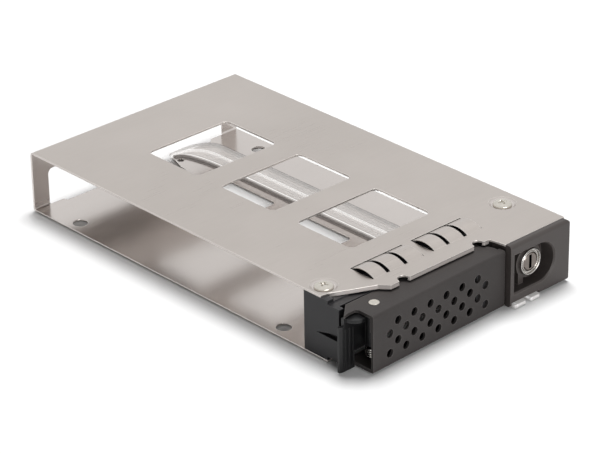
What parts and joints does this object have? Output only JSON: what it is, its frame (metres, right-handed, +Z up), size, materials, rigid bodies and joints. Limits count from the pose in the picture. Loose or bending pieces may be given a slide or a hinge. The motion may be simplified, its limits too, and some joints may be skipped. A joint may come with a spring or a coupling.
{
  "type": "drive bay adapter tray",
  "caption": "Folded steel carrier tray for a 2.5-inch drive, open at both sides, with a black bezel, perforated swing handle, sprung latch and key lock",
  "frame": {"origin": "centre of the four drive screw holes, on the underside of the tray", "axes": "+X to the lock side, +Y to the rear with the connector notch, +Z up; the front with the handle and the lock faces -Y"},
  "size_m": [0.0719, 0.1233, 0.0179],
  "materials": {
    "tray_steel": "brushed",
    "bezel_plastic": "fine matt texture",
    "guide_acrylic": "clear, ribbed",
    "screw_steel": "bright zinc",
    "pin_steel": "turned",
    "lock_chrome": "bright",
    "core_steel": "satin",
    "bolt_steel": "satin",
    "handle_paint": "satin powder coat",
    "latch_plastic": "matt",
    "spring_steel": "bright wire"
  },
  "bodies": {
    "tray": {"tray_shell": "tray_steel", "front_bezel": "bezel_plastic", "lock_housing": "bezel_plastic", "light_guide_inner": "guide_acrylic", "light_guide_outer": "guide_acrylic", "top_bezel_screws": "screw_steel", "bottom_bezel_screws": "screw_steel", "hinge_pin": "pin_steel", "lock_barrel": "lock_chrome", "lock_washer": "bolt_steel", "lock_nut": "bolt_steel", "bolt_retainer": "bezel_plastic", "retainer_screws": "screw_steel"},
    "handle": {"handle_cover": "handle_paint", "hinge_block": "latch_plastic", "latch_pin": "pin_steel", "latch_spring": "spring_steel"},
    "latch": {"latch_lever": "latch_plastic"},
    "lock_core": {"lock_plug": "core_steel"},
    "bolt": {"lock_bolt": "bolt_steel"}
  },
  "joints": [
    {"name": "handle_hinge", "type": "hinge", "parent": "tray", "child": "handle", "pos_m": [0.0102, -0.0652, 0.0079], "axis": [0, 0, 1], "range_deg": [0, 70]},
    {"name": "latch_hinge", "type": "hinge", "parent": "handle", "child": "latch", "pos_m": [-0.0259, -0.064, 0.0079], "axis": [0, 0, 1], "range_deg": [0, 11], "stiffness_Nm_per_rad": 0.01, "springref_deg": -20.05},
    {"name": "lock_turn", "type": "hinge", "parent": "tray", "child": "lock_core", "pos_m": [0.0237, -0.06, 0.0089], "axis": [0, 1, 0], "range_deg": [0, 90]},
    {"name": "bolt_slide", "type": "slide", "parent": "tray", "child": "bolt", "axis": [1, 0, 0], "range_m": [0, 0.0025]}
  ],
  "couplings": [
    {"joint": "lock_turn", "follows": "bolt_slide", "rad_per_m": 627.56}
  ]
}
